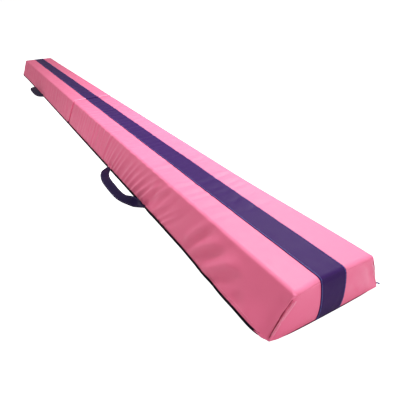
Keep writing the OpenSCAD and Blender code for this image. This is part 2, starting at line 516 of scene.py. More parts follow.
def section_columns():
    """Columns round the section as (kind, side, share), and the indices of the two top corners."""
    rise = np.linspace(0, 1, SIDE_ROWS + 1)[:-1]
    turn = np.linspace(0, 1, ARC_ROWS + 1)[:-1]
    across = graded(2 * ARC_Y, STEP, 1.3 * MM, 1.3 * MM, 1.18) / (2 * ARC_Y)
    columns = [("side", -1, t) for t in rise] + [("arc", -1, t) for t in turn]
    columns += [("top", 0, t) for t in across[:-1]]
    columns += [("arc", 1, 1 - t) for t in turn] + [("side", 1, 1 - t) for t in rise]
    columns.append(("side", 1, 0.0))
    corner = SIDE_ROWS + ARC_ROWS // 2
    return columns, (corner, len(columns) - 1 - corner)


def section_point(column, x):
    """(y, z, normal y, normal z) of a column at distances x from the fold."""
    kind, side, share = column
    one = np.ones_like(x)
    if kind == "top":
        return (-ARC_Y + 2 * ARC_Y * share) * one, TOP_Z * one, 0 * one, one
    if kind == "arc":
        angle = LEAN + (math.pi / 2 - LEAN) * share
        y, z = side * (ARC_Y + EDGE_R * math.cos(angle)), ARC_Z + EDGE_R * math.sin(angle)
        return y * one, z * one, side * math.cos(angle) * one, math.sin(angle) * one
    low = lower_edge(x, side < 0)
    z = low + (ARC_Z + EDGE_R * math.sin(LEAN) - low) * share
    return side * half_width(z), z, side * math.cos(LEAN) * one, math.sin(LEAN) * one


def cover_points():
    """The right cover's smooth outer form: a strip over the sides and top, and the patch of the end face.

    Returns points, faces and the indices of the points along the lower edges and the fold."""
    columns, (corner, far_corner) = section_columns()
    anywhere = np.array([0.5])
    normal_z = np.array([section_point(c, anywhere)[3][0] for c in columns])
    end_r = (3 + 5 * smooth(0.55, 0.98, normal_z)) * MM
    along = graded(1.0, STEP / END_X, 0.6 * MM / END_X, 1.3 * MM / END_X)
    bend = np.linspace(0, math.pi / 2, END_ARC_ROWS + 1)[1:]
    count, length = len(columns), len(along) + len(bend)
    strip = np.zeros((length, count, 3))
    for m, column in enumerate(columns):
        r = end_r[m]
        x = np.concatenate([FOLD_X + along * (END_X - r - FOLD_X), END_X - r + r * np.sin(bend)])
        y, z, ny, nz = section_point(column, x)
        inset = np.concatenate([np.zeros_like(along), r * (1 - np.cos(bend))])
        strip[:, m] = np.stack([x, y - ny * inset, z - nz * inset], 1)
    # The end patch is blended between its four edges.
    rim = strip[-1]
    left, top, right = rim[: corner + 1], rim[corner : far_corner + 1], rim[far_corner:][::-1]
    u = travelled(top) / travelled(top)[-1]
    v = (left[:, 2] - left[0, 2]) / (left[-1, 2] - left[0, 2])
    bottom = left[0] + (right[0] - left[0]) * u[:, None]
    uu, vv = u[None, :, None], v[:, None, None]
    patch = (1 - uu) * left[:, None] + uu * right[:, None] + (1 - vv) * bottom[None] + vv * top[None]
    patch -= (1 - vv) * ((1 - uu) * left[0] + uu * right[0])
    patch -= vv * ((1 - uu) * left[-1] + uu * right[-1])
    inner = patch[:-1, 1:-1]
    rows, width = inner.shape[:2]
    last = (length - 1) * count

    def patch_index(k, j):
        if j == 0:
            return last + k
        if j == width + 1:
            return last + count - 1 - k
        if k == rows:
            return last + corner + j
        return length * count + k * width + j - 1

    faces = turned(grid_faces(length, count))
    for k, j in product(range(rows), range(width + 1)):
        corners = ((k, j), (k, j + 1), (k + 1, j + 1), (k + 1, j))
        faces.append(tuple(patch_index(*at) for at in corners))
    points = np.concatenate([strip.reshape(-1, 3), inner.reshape(-1, 3)])
    edges = [i * count + m for i in range(length) for m in (0, count - 1)]
    edges += list(range(count)) + [patch_index(0, j) for j in range(width + 2)]
    return points, faces, edges


# ---- how the fabric lies
# In these functions d is the distance from the fold, and up the share of the way up a long side.
# Each fold: its top (d, up), its bottom (d, up), its width and its height.
FRONT_FOLDS = (
    ((1.110, 0.72), (1.030, 0.06), 13 * MM, 4.4 * MM),
    ((1.055, 0.80), (0.985, 0.22), 11 * MM, 3.6 * MM),
    ((1.005, 0.92), (0.955, 0.20), 10 * MM, 3.2 * MM),
    ((0.845, 0.98), (0.800, 0.35), 9 * MM, 2.4 * MM),
    ((0.790, 0.80), (0.745, 0.05), 9 * MM, 3.2 * MM),
)
BACK_FOLDS = (
    ((1.12, 0.75), (1.05, 0.25), 11 * MM, 2.8 * MM),
    ((1.03, 0.9), (0.99, 0.3), 9 * MM, 2.2 * MM),
    ((0.64, 0.9), (0.60, 0.3), 10 * MM, 2.0 * MM),
)


def up_side(points):
    """Share of the way up a long side, from 0 at the floor to 1 at the top."""
    return np.clip(points[:, 2] / TOP_Z, 0, 1)


def from_edge(points):
    """Distance inwards from the flat plane of the nearer long side."""
    return (half_width(points[:, 2]) - np.abs(points[:, 1])) * math.cos(LEAN)


def slanted(d, up, shift):
    """A coordinate that is constant along folds which run back by shift from the top to the bottom."""
    return d + shift * (1 - up)


def folds(d, up, table):
    """Single folds on a long side: each is a rounded ridge with a crease beside it."""
    total = 0
    for top, bottom, width, height in table:
        scale = np.array([1.0, SIDE_LENGTH])
        run = (np.array(bottom) - np.array(top)) * scale
        length = np.linalg.norm(run)
        rel = np.stack([d - top[0], (up - top[1]) * SIDE_LENGTH], -1)
        along = rel @ run / length**2
        off = (rel[..., 0] * run[1] - rel[..., 1] * run[0]) / length
        off = off + 0.1 * length * (along - 0.5) ** 2
        ridge = bell(off, 0, width) - 0.9 * bell(off, -1.5 * width, 0.7 * width)
        total = total + height * span(along, -0.15, 0.3, 0.7, 1.15) * ridge
    return total


def handle_dimples(d, up, depth, apart, length, low, height):
    """Dimples where the handle's two ends are sewn in."""
    pulled = bell(d, HANDLE_X - apart, length) + bell(d, HANDLE_X + apart, length)
    return depth * pulled * bell(up, low, height)


def right_front(d, up):
    """Folds on the right half's handle side: slack drawn towards the handle's ends."""
    q = slanted(d, up, (50 + 55 * smooth(0.50, 0.80, d)) * MM * smooth(0.38, 0.52, d))
    near_fold = 1 - smooth(0.46, 0.56, d)
    between = span(d, 0.44, 0.54, 0.84, 0.94)
    outer = span(d, 0.80, 0.90, 1.02, 1.12)
    fine = near_fold * (0.35 + 0.65 * smooth(0.05, 0.40, d)) * (1.3 - 0.6 * up)
    broad = near_fold * smooth(0.02, 0.36, d) * (0.6 + 0.4 * bell(up, 0.35, 0.5))
    drawn = between * (0.12 + 0.88 * bell(up, 0.32, 0.42))
    h = 1.2 * MM * waves(q, 31 * MM, 11) * fine
    h = h - 3.0 * MM * ridges(q, 37 * MM, 14) * broad
    h = h - 6.4 * MM * ridges(q, 33 * MM, 12, 0.30) * drawn
    h = h + 3.0 * MM * ridges(slanted(d, up, 70 * MM), 68 * MM, 13) * outer * bell(up, 0.5, 0.45)
    h = h + folds(d, up, FRONT_FOLDS)
    h = h - 3.0 * MM * bell(d, 1.135, 14 * MM) * bell(up, 0.18, 0.13)
    h = h + 2.5 * MM * bell(d, 1.110, 55 * MM) * bell(up, 0.55, 0.30)
    return h - handle_dimples(d, up, 4.5 * MM, 128 * MM, 10 * MM, 0.08, 0.20)


def left_front(d, up):
    """The left half's handle side lies smoother, with one broad hollow above its handle."""
    h = 0.6 * MM * waves(slanted(d, up, 30 * MM), 60 * MM, 21) * (1 - 0.5 * up)
    h = h + 0.6 * MM * waves(d, 24 * MM, 22) * (1 - smooth(0.12, 0.4, d)) * (1.1 - up)
    h = h - 4.5 * MM * span(d, 0.50, 0.56, 0.71, 0.78) * bell(up, 0.0, 0.32)
    return h - handle_dimples(d, up, 2.6 * MM, 126 * MM, 14 * MM, 0.05, 0.18)


def back_side(d, up, seed):
    """The zip side: gathers along the zip and a few slack folds near the outer end."""
    h = 1.0 * MM * ridges(slanted(d, up, 30 * MM), 42 * MM, seed) * (1.2 - up) * (1 - smooth(0.9, 1.1, d))
    h = h + 0.5 * MM * waves(d, 21 * MM, seed + 2) * bell(up, 0.25, 0.25)
    h = h + folds(d, up, BACK_FOLDS)
    h = h + 0.9 * MM * waves(d, 56 * MM, seed + 1) * bell(up, 0.45, 0.3)
    # It doesn't sink in where the zip's tape lies under it.
    return np.where(h < 0, h * smooth(0.30, 0.50, up), h)


def end_face(y, z, seed):
    """The outer end: a full bulge, with soft slanting folds towards the zip side."""
    across = np.clip(np.abs(y) / half_width(z), 0, 1)
    height = np.clip(z / TOP_Z, 0, 1)
    bulge = 6.5 * MM * np.sin(math.pi * height**0.85) ** 0.8 * (1 - across**2.6)
    slant = (y + 0.75 * z) / math.sqrt(1 + 0.75**2)
    side = span(y, 12 * MM, 50 * MM, 85 * MM, 105 * MM)
    return bulge + 1.5 * MM * waves(slant, 24 * MM, seed) * side * np.sin(math.pi * height)


def top_face(d, y, amount, seed):
    """The top: slightly crowned, with faint ripples across, and soft dents near the outer end's stripe."""
    across = y / half_width(TOP_Z)
    crown = 0.4 * MM * (1 - across**2) - 0.7 * MM
    ripple = amount * MM * waves(d + 0.12 * np.abs(y), 34 * MM, seed)
    ripple = ripple + 0.6 * amount * MM * ridges(d + 0.1 * y, 57 * MM, seed + 1)
    ripple = ripple * (1 - 0.6 * across**4) * span(d, 0.0, 0.12, 0.90, 1.12)
    dents = 0.80 * MM * waves(d + 0.8 * y, 38 * MM, seed + 2) * bell(d, 0.99, 0.09) * bell(y, 4 * MM, 20 * MM)
    return crown + ripple + dents


def lie(points, normals, half):
    """How far the fabric stands off its smooth form along its normal, for points given in the right half."""
    d, y, z = points.T
    look = LOOK[half]
    back_seed, top_seed, end_seed = look["seeds"]
    up = up_side(points)
    side_share = smooth(0.35, 0.85, np.abs(normals[:, 1]))
    end_share = smooth(0.35, 0.9, normals[:, 0])
    top_share = smooth(0.6, 0.97, normals[:, 2])
    front = right_front(d, up) if half == "right" else left_front(d, up)
    h = np.where(y < 0, front, back_side(d, up, back_seed))
    h = h * side_share * smooth(0.0, 0.08, 1 - up) * smooth(-0.02, 0.16, up)
    h = h + top_face(d, y, look["ripple"], top_seed) * top_share
    h = h + end_face(y, z, end_seed) * end_share
    # A hollow past the zip's outer end, where the pull lies when it's flipped over.
    under_pull = span(d - PULL_PIN.x, -6 * MM, 3 * MM, 21 * MM, 27 * MM) * bell(up, 0.13, 0.11)
    h = h - look["hollow"] * under_pull * side_share * (y > 0)
    # Small puckers along the sewn lower edge, and the edge's turn into the fold.
    h = h + 0.40 * MM * waves(d, 9.5 * MM, 61) * side_share * bell(up, 0.05, 0.12)
    depth, length = look["turn_in"]
    return h - depth * (1 - 0.93 * top_share) * np.exp(-np.maximum(d - FOLD_X, 0) / length)


CORNER_TOP = 0.84
CORNER_LOW = 0.12


def seam_at(up):
    """Where the seam runs across an outer corner: positive on the side panel, negative on the end panel."""
    return (3.0 - 7.5 * smooth(0.10, 0.95, up)) * MM


def sag(points, half):
    """Moves whole regions: the lower edges' flare, and the outer end's lean and full corners."""
    d, y, _ = points.T
    look = LOOK[half]
    up = up_side(points)
    side = np.sign(y)
    inside = from_edge(points)
    away = np.hypot(END_X - d, inside)
    low = 1 - smooth(0.0, 0.55, up)
    move = np.zeros_like(points)
    move[:, 1] += side * look["flare"] * smooth(0.93, 1.12, d) * low * smooth(30 * MM, 4 * MM, inside)
    # The lower corner on the handle side is drawn in round the foam.
    tucked = np.where(side < 0, 9.5 * bell(away, 0, 15 * MM), 0.5 * bell(away, 0, 9 * MM)) * MM * low
    move[:, 1] -= side * tucked
    move[:, 0] -= np.where(side < 0, 0.35, 0.0) * tucked
    # The end leans over towards the zip side, and its two upper corners stand out.
    zip_side = smooth(-20 * MM, half_width(TOP_Z), y)
    handle_side = smooth(-25 * MM, -60 * MM, y)
    move[:, 1] += look["slump"] * smooth(0.0, 0.75, up) * smooth(0.85, END_X, d) * zip_side
    move[:, 0] += 3.5 * MM * smooth(0.35, 0.95, up) * zip_side * smooth(END_X - 60 * MM, END_X, d)
    move[:, 0] += 4.0 * MM * smooth(0.5, 1.0, up) * handle_side * smooth(END_X - 45 * MM, END_X, d)
    return move


def corner_seam(points, normals, half):
    """Moves the fabric along the two outer corners: the seam's crease, its lips and the loose tip."""
    up = up_side(points)
    inside_end = END_X - points[:, 0]
    inside_side = from_edge(points)
    off = inside_end - inside_side - seam_at(up)
    sewn = span(up, 0.02, 0.08, CORNER_TOP - 0.06, CORNER_TOP + 0.01)
    lips = 1.5 * bell(off, 9 * MM, 9 * MM) - 1.5 * bell(off, -3.6 * MM, 2.4 * MM)
    crease = (3.0 * bell(off, 0, 1.6 * MM) + lips) * sewn
    notch = 3.0 * bell(off, 0, 3.4 * MM) * bell(up, CORNER_TOP, 0.045)
    deep = np.where((points[:, 1] < 0) & (half == "right"), 1.0, 0.3) * MM
    move = -normals * (deep * (crease + notch))[:, None]
    tip = bell(np.hypot(inside_end, inside_side), 0, 9 * MM) * (1 - smooth(0.02, 0.14, up))
    move[:, 2] -= 0.7 * MM * tip
    return move


def settle(obj, pinned, pressure, cap, frames=20):
    """Cloth simulation of a padded cover, capped in how far it may move and applied to the mesh."""
    rest = points_of(obj.data)
    group = obj.vertex_groups.new(name="pinned")
    group.add(pinned, 1.0, "REPLACE")
    cloth = obj.modifiers.new("cloth", "CLOTH")
    settings = cloth.settings
    settings.quality = 5
    settings.mass = 0.5
    settings.vertex_group_mass = "pinned"
    settings.pin_stiffness = 5
    settings.tension_stiffness = settings.compression_stiffness = 25
    settings.shear_stiffness = 12
    settings.bending_stiffness = 1.5
    settings.use_pressure = True
    settings.uniform_pressure_force = pressure
    settings.shrink_min = -0.006
    settings.effector_weights.gravity = 0
    cloth.collision_settings.use_collision = False
    scene = bpy.context.scene
    for number in range(1, frames + 1):
        scene.frame_set(number)
    graph = bpy.context.evaluated_depsgraph_get()
    mesh = bpy.data.meshes.new_from_object(obj.evaluated_get(graph))
    move = points_of(mesh) - rest
    bpy.data.meshes.remove(mesh)
    obj.modifiers.clear()
    scene.frame_set(1)
    size = np.linalg.norm(move, axis=1, keepdims=True)
    set_points(obj, rest + move * cap * np.tanh(size / cap) / np.maximum(size, 1e-9))


def clear_of_fold(points):
    """Keeps the top low enough for the halves to clear each other when folded, and lower under the stripe."""
    under_stripe = 1 - smooth(STRIPE_HALF - 1 * MM, STRIPE_HALF + 12 * MM, np.abs(points[:, 1]))
    roof = FOLD_AXIS.z - (0.6 + 1.2 * under_stripe) * MM
    room = 1.2 * MM
    over = np.maximum(points[:, 2] - roof + room, 0)
    points[:, 2] = np.minimum(points[:, 2], roof - room) + room * np.tanh(over / room)
    return points


def build_cover(half):
    """One half's cover. Returns a tree of its outer surface, in the right half's place."""
    points, faces, edges = cover_points()
    obj = mesh_object(f"{half}_cover_fabric", points, faces, pink_vinyl)
    normals = normals_of(obj)
    settle(obj, edges, pressure=3.0, cap=2.5 * MM)
    swelling = points_of(obj.data) - points
    swelling[:, 2] *= 1 - 0.8 * smooth(0.6, 0.97, normals[:, 2])
    shaped = points + swelling + normals * lie(points, normals, half)[:, None]
    set_points(obj, clear_of_fold(shaped + sag(points, half) + corner_seam(points, normals, half)))
    subdivide(obj)
    mesh = obj.data
    tree = BVHTree.FromPolygons([v.co for v in mesh.vertices], [p.vertices for p in mesh.polygons])
    thicken(obj, 0.8 * MM)
    fit(obj, half, "cover_vinyl", "cover")
    return tree


# ---- things laid on the surface
# A stitch's rings: place along it, girth and rise, as shares of half its length and of its radius.
STITCH_HALF = ((-1.0, 0.35, -0.55), (-0.75, 0.8, 0.25), (-0.3, 1.0, 0.6))
STITCH_RINGS = STITCH_HALF + tuple((-along, girth, rise) for along, girth, rise in reversed(STITCH_HALF))
STITCH_AROUND = 6
STRIPE_STITCH_IN = 1.9 * MM


def land(tree, point, normal, lift, reach=30 * MM):
    """The place on the surface under a point just outside it, raised by lift, and its normal there."""
    point, normal = Vector(point), Vector(normal)
    hit, facing, _, _ = tree.ray_cast(point + normal * reach, -normal, 2 * reach)
    if hit is None:
        hit, facing, _, _ = tree.find_nearest(point)
    if facing.dot(normal) < 0:
        facing = -facing
    return np.array(hit + facing * lift), np.array(facing)


def stitches(name, places, length, radius, material):
    """A row of thread stitches. places holds (centre, direction, normal) for each."""
    angles = np.arange(STITCH_AROUND) * 2 * math.pi / STITCH_AROUND
    ring_faces = tube_faces(len(STITCH_RINGS), STITCH_AROUND)
    points, faces = [], []
    for centre, direction, normal in places:
        t = unit(np.array(direction))
        n = unit(np.array(normal) - t * (np.array(normal) @ t))
        b = np.cross(t, n)
        start = len(points)
        for along, girth, rise in STITCH_RINGS:
            middle = centre + t * along * length / 2 + n * rise * radius
            points.extend(middle + radius * girth * (np.cos(a) * b + np.sin(a) * n) for a in angles)
        faces.extend(tuple(start + k for k in face) for face in ring_faces)
    return mesh_object(name, points, faces, material)


def run_of(tree, path, pitch, lift=0.0):
    """Evenly spaced (centre, direction, normal) places on the surface, along a path of (point, normal)."""
    landed = [land(tree, p, n, lift) for p, n in path]
    points, normals = (np.array(rows) for rows in zip(*landed))
    travel = travelled(points)
    at = np.arange(pitch / 2, travel[-1], pitch)
    ahead, behind = (resampled(at + step, travel, points) for step in (pitch / 4, -pitch / 4))
    return list(zip(resampled(at, travel, points), ahead - behind, resampled(at, travel, normals)))


def side_point(d, up_length, side):
    """Point and outward normal on a long side, up_length along the slope from the floor."""
    z = up_length * math.cos(LEAN)
    return np.array([d, side * half_width(z), z]), np.array([0, side * math.cos(LEAN), math.sin(LEAN)])


def stripe_path():
    """Points and normals along the stripe's middle: along the top, round the end and down to the floor."""
    path = [((x, 0.0, TOP_Z), (0, 0, 1)) for x in np.arange(FOLD_X, END_X - EDGE_R, 3 * MM)]
    for angle in np.linspace(0, math.pi / 2, 9):
        n = np.array([math.sin(angle), 0, math.cos(angle)])
        path.append((np.array([END_X - EDGE_R, 0.0, ARC_Z]) + EDGE_R * n, n))
    path += [((END_X, 0.0, z), (1, 0, 0)) for z in np.arange(ARC_Z - 2.5 * MM, 1.2 * MM, -2.5 * MM)]
    return path


def stripe_wander(run, side):
    """Small sideways wander of one of the stripe's edges, from its sewing."""
    return 0.35 * MM * waves(run, 310 * MM, 71) + 0.12 * MM * waves(run, 70 * MM, 72 + side)


def stripe_lift(edge, run):
    """The stripe's height over the cover, at a distance in from its edge and along its run."""
    groove = 0.32 * MM * bell(edge, STRIPE_STITCH_IN, 1.1 * MM)
    fold_under = 0.45 * MM * np.exp(-((edge / (7 * MM)) ** 4))
    pucker = 0.22 * MM * math.sin(run / (8.2 * MM) * 2 * math.pi + 2.0 * math.sin(run * 37))
    rounded = 0.55 + 0.45 * np.minimum(1.0, edge / (0.7 * MM))
    return (0.75 * MM + fold_under - groove + pucker * bell(edge, 0, 6 * MM)) * rounded


def build_stripe(half, tree):
    """The sewn centre stripe with turned-under edges, a groove along each stitch line and small puckers."""
    shares = np.concatenate([[-1.0, -1.0], np.linspace(-0.985, 0.985, 21), [1.0, 1.0]])
    middle = stripe_path()
    run = travelled(np.array([p for p, _ in middle], float))
    edges = [sign * STRIPE_HALF + stripe_wander(run, k) for k, sign in enumerate((-1, 1))]
    rings = []
    for i, (p, n) in enumerate(middle):
        low, high = edges[0][i], edges[1][i]
        ys = (low + high) / 2 + shares * (high - low) / 2
        lifts = stripe_lift((1 - np.abs(shares)) * STRIPE_HALF, run[i])
        landed = [land(tree, (p[0], y, p[2]), n, 0.0) for y in ys]
        rings += [hit + facing * lift for (hit, facing), lift in zip(landed, lifts)]
        rings += [hit + facing * 0.12 * MM for hit, facing in reversed(landed)]
    faces = tube_faces(len(middle), 2 * len(shares))
    fit(mesh_object(f"{half}_stripe_band", rings, faces, violet_vinyl), half, "stripe_vinyl", "stripe")
    rows = []
    for edge, sign in zip(edges, (-1, 1)):
        ys = edge - sign * STRIPE_STITCH_IN
        rows += run_of(tree, [((p[0], y, p[2]), n) for (p, n), y in zip(middle, ys)], 4.2 * MM, 1.05 * MM)
    fit(stitches(f"{half}_stripe_thread", rows, 3.5 * MM, 0.42 * MM, blue_thread), half, "stripe_vinyl")


def build_side_thread(half, tree):
    """The row of stitches along the cover's lower edges that sews the cover to the base and the zip tape."""
    rows = []
    for side, up_length in ((-1, 9.3 * MM), (1, OPENING_UP + 2.6 * MM)):
        xs = np.arange(FOLD_X + 10 * MM, END_X - 34 * MM, 4 * MM)
        rows += run_of(tree, [side_point(x, up_length, side) for x in xs], 4.4 * MM, 0.02 * MM)
    fit(stitches(f"{half}_hem_thread", rows, 3.2 * MM, 0.30 * MM, hem_thread), half, "cover_vinyl")


def seam_line(half, side, offset, ups):
    """(point, normal) pairs down an outer corner on the moved fabric, beside the seam by offset."""
    corner_r = 3 * MM
    places, normals = [], []
    for up in ups:
        z = up * TOP_Z
        across = float(seam_at(up)) + offset
        turn = np.clip((corner_r - across) / (2 * corner_r), 0, 1) * math.pi / 2
        normals.append((math.tan(min(turn, 1.5)), side * math.cos(LEAN), math.sin(LEAN)))
        y = side * (half_width(z) + min(across, 0.0) / math.cos(LEAN))
        places.append((END_X - max(across, 0.0), y, z))
    places, normals = np.array(places), unit(np.array(normals))
    moved = places + normals * lie(places, normals, half)[:, None]
    moved = moved + sag(places, half) + corner_seam(places, normals, half)
    return list(zip(moved, normals))


def build_corner_shade_strip(half, tree):
    """A thin dark strip down each outer corner, standing a little proud: painted shade for the seam's crease.
    """
    ups = np.linspace(CORNER_LOW - 0.05, CORNER_TOP, 40)
    section = ((-1, -1.0), (-0.7, 0.35), (0.0, 0.55), (0.7, 0.35), (1, -1.0))
    for side, label in ((-1, "front"), (1, "back")):
        lift = (0.7 if (half, side) == ("right", -1) else 0.1) * MM
        down = np.array([0, -side * math.sin(LEAN), math.cos(LEAN)])
        rings = []
        for up, (point, normal) in zip(ups, seam_line(half, side, 0.0, ups)):
            place, facing = land(tree, point, normal, lift, 12 * MM)
            width = 1.4 * MM * min(1.0, 0.25 + 8 * min(up - ups[0], ups[-1] - up))
            across = unit(np.cross(facing, down))
            rings += [place + across * a * width + facing * b * MM for a, b in section]
        faces = tube_faces(len(ups), len(section))
        fit(mesh_object(f"{half}_corner_shade_line_{label}", rings, faces, seam_shade_vinyl), half, "cover_vinyl")


def build_corner_thread(half, tree):
    """Two rows of stitches down each outer corner, on the end panel beside the crease."""
    ups = np.linspace(CORNER_LOW + 0.02, CORNER_TOP - 0.04, 30)
    rows = []
    for side, offset in product((-1, 1), (-2.6 * MM, -5.0 * MM)):
        rows += run_of(tree, seam_line(half, side, offset, ups), 3.3 * MM, 0.05 * MM)
    fit(stitches(f"{half}_corner_thread", rows, 2.6 * MM, 0.36 * MM, pink_thread), half, "cover_vinyl")


# ---- fold, base and foam
def build_bead():
    """The sewn roll across the top of the fold: pink at its ends, painted paler as a highlight along its
    ridge, and violet where it crosses the stripe.
    """
    rings, around = 121, 14
    points = []
    for y in np.linspace(BEAD_LO.y - 5 * MM, BEAD_HI.y + 5 * MM, rings):
        beyond = max(0.0, abs(y) - (BEAD_HI.y - 1 * MM))
        crossing = float(abs(y) < STRIPE_HALF)
        radius = (1.6 + 0.12 * math.sin(y * 900) + 0.08 * math.sin(y * 2300)) * MM
        radius *= (1 - 0.5 * min(1.0, beyond / (6 * MM))) * (1 + 0.20 * crossing)
        middle = FOLD_AXIS.z - 0.5 * MM - beyond**2 / (9 * MM)
        for a in np.arange(around) * 2 * math.pi / around:
            points.append((radius * (1.0 + 0.45 * crossing) * math.cos(a), y, middle + radius * math.sin(a)))
    obj = mesh_object("hinge_roll", points, tube_faces(rings, around), bead_highlight_vinyl)
    obj.data.materials.append(violet_vinyl)
    for polygon in obj.data.polygons:
        if abs(polygon.center.y) < STRIPE_HALF:
            polygon.material_index = 1
    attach(obj, "left_half")
    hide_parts("hinge_bead")


def build_fold_panel(half):
    """The panel that closes a half at the fold: a soft sheet whose edges are rounded into the cover."""
    columns, _ = section_columns()
    at_fold = np.array([FOLD_X])
    section = np.array([[value[0] for value in section_point(column, at_fold)] for column in columns])
    rim, inward = section[:, :2], section[:, 2:]
    insets = [LOOK[half]["turn_in"][0] + step * MM for step in (-0.3, 0.6, 2.0, 5.0, 10.0, 18.0)]
    middle_z = TOP_Z * 0.45
    points, count = [], len(columns)
    for k, inset in enumerate(insets):
        puff = (0.15 + 0.75 * smooth(0, 8 * MM, inset)) * MM
        for y, z in rim - inward * inset:
            ripple = 0.12 * MM * math.sin(y * 260 + z * 190) * (k > 2)
            points.append((FOLD_X + 0.9 * MM - puff - ripple, y, max(z, 1.5 * MM)))
    for _, y, z in points[-count:]:
        points.append((FOLD_X + 0.1 * MM, y * 0.5, middle_z + (z - middle_z) * 0.45))
    points.append((FOLD_X + 0.15 * MM, 0.0, middle_z))
    hub = len(points) - 1
    faces = grid_faces(len(insets) + 1, count)
    faces += [(hub - count + m, hub - count + m + 1, hub) for m in range(count - 1)]
    obj = mesh_object(f"{half}_fold_lining", points, faces, pink_vinyl)
    thicken(obj, 0.7 * MM, 1.0)
    fit(obj, half, "cover_vinyl", "fold_panel")


def core_ring(x, z0, z1, levels=9, across=24):
    """Points and outward normals round a foam board's section, at x."""
    heights = np.linspace(z0, z1, levels)
    ring = [(x, 1.2 * MM - half_width(z), z, 0, -math.cos(LEAN), math.sin(LEAN)) for z in heights]
    ring += [(x, share * half_width(z1), z1, 0, 0, 1) for share in np.linspace(-1, 1, across)[1:-1]]
    ring += [(x, half_width(z) - 1.2 * MM, z, 0, math.cos(LEAN), math.sin(LEAN)) for z in heights[::-1]]
    return np.array(ring)


def build_core(half, part, tree):
    """A foam board that fills the cover. Its outer faces lie just inside the fabric, where that sinks in."""
    lo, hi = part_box(f"right_{part}")
    depth = 12 * MM
    rows = []
    stations = np.linspace(lo.x, hi.x - 16 * MM, 190)
    for x in stations:
        ring = core_ring(x, lo.z, hi.z)
        for point in ring:
            outward = Vector(point[3:])
            level = outward.z == 1
            if level and part == "core_lower":
                continue
            start = Vector(point[:3]) - outward * depth
            hit = tree.ray_cast(start, outward, 30 * MM)[0]
            room = depth if hit is None else (hit - start).length - 1.5 * MM
            if outward.y > 0 and point[2] < 2 * OPENING_UP and lo.x + 8 * MM < x:
                room -= 4.0 * MM  # behind the zip's tapes
            point[:3] = start + outward * min(room, depth)
            if not level:
                point[2] = min(max(point[2], lo.z), hi.z)
        rows.append(ring[:, :3])
    faces = tube_faces(len(stations), len(rows[0]))
    obj = mesh_object(f"{half}_{part}_foam", np.concatenate(rows), faces, foam_board, smooth_shading=False)
    fit(obj, half, "foam", part)


def base_outline(tree):
    """Points (x, y) round the right base from the fold, by the handle side and the end, back to the fold."""
    height = BAND_Z + 0.8 * MM
    inner_x, inner_y, step = END_X - 30 * MM, 70 * MM, 6 * MM
    quarter = np.linspace(0, math.pi / 2, 13)
    rays = [((x, -inner_y), (0, -1)) for x in np.arange(FOLD_X, inner_x, step)]
    rays += [((inner_x, -inner_y), (math.sin(a), -math.cos(a))) for a in quarter]
    rays += [((inner_x, y), (1, 0)) for y in np.linspace(-inner_y, inner_y, 15)[1:-1]]
    rays += [((inner_x, inner_y), (math.cos(a), math.sin(a))) for a in quarter[:-2]]
    points = []
    for start, direction in rays:
        start, direction = Vector((*start, height)), Vector((*direction, 0))
        hit = tree.ray_cast(start, direction, 80 * MM)[0]
        if hit is None:
            hit = start + direction * (half_width(height) - inner_y)
        points.append((hit.x, hit.y))
    points = np.array(points)
    along = int((inner_x - FOLD_X) / step)
    points[:along, 1] = np.minimum(points[:along, 1], -half_width(height) + 1 * MM)
    edge = BASE_HI.y - 0.6 * MM
    back = [(x, edge) for x in np.arange(END_X - 22 * MM, FOLD_X, -12 * MM)] + [(FOLD_X, edge)]
    return evened(np.concatenate([points, back]), 8)


def build_base(half, tree):
    """The black base sheet with its edges turned up over the cover, and gaps for the handle's ends."""
    outline = base_outline(tree)
    ahead = np.roll(outline, -1, axis=0) - np.roll(outline, 1, axis=0)
    ahead[0], ahead[-1] = outline[1] - outline[0], outline[-1] - outline[-2]
    outward = unit(np.stack([ahead[:, 1], -ahead[:, 0]], 1))
    x, y = outline.T
    turned_up = 3.2 - 1.6 * smooth(0.80, 1.05, x) if half == "right" else 1.6
    rim = BAND_Z + np.where(y < 0, turned_up, 1.0) * MM
    for sewn_x in (HANDLE_X - 122 * MM, HANDLE_X + 122 * MM):
        rim[(np.abs(x - sewn_x) < 15 * MM) & (y < 0)] = 1.7 * MM
    at_end = smooth(END_X - 20 * MM, END_X - 12 * MM, x)
    rim = rim + (1.8 * MM - rim) * at_end
    outline = outline + outward * ((0.35 - 2.2 * at_end) * MM)[:, None]
    flat = np.ones(len(outline))
    section = [(0.6, 0.0 * flat), (1.4, 0.25 * MM * flat), (1.7, 0.8 * MM * flat), (1.6, 1.5 * MM * flat)]
    section += [(1.15, rim - 0.35 * MM), (0.7, rim), (0.0, rim - 0.25 * MM), (-0.2, 1.25 * MM * flat)]
    rings = [np.column_stack([outline + outward * out * MM, z]) for out, z in section]
    faces = turned(tube_faces(len(rings), len(outline)))
    obj = mesh_object(f"{half}_base_sheet", np.concatenate(rings), faces, black_sheet, smooth_shading=False)
    fit(obj, half, "base_sheet", "base")


# The tail's middle line: x and y from the base's outer corner and height over the floor, in millimetres.
TAIL_LINE = ((-25.1, -5.5, 8.6), (-15.1, -5.0, 8.6), (-7.1, -3.6, 8.5), (-1.1, -1.0, 8.4), (2.9, 2.2, 8.3))


def build_tape_tail(half):
    """The loose end of the zip's tape, which pokes out at the outer corner."""
    line = np.array(TAIL_LINE) * MM + [BASE_HI.x, BASE_HI.y, 0]
    line = np.concatenate([line[:1], line, line[-1:]])
    lean, out = np.array([-0.2, -0.35, 0.9]), np.array([0.55, 0.75, 0.3])
    section = [lean * a * 2.6 * MM + out * b * 0.5 * MM for a, b in ((-1, -1), (1, -1), (1, 1), (-1, 1))]
    points = [place + corner for place in line for corner in section]
    obj = mesh_object(f"{half}_zip_tail", points, tube_faces(len(line), len(section)), zip_cloth)
    subdivide(obj, 2)
    fit(obj, half, "zip_tape")


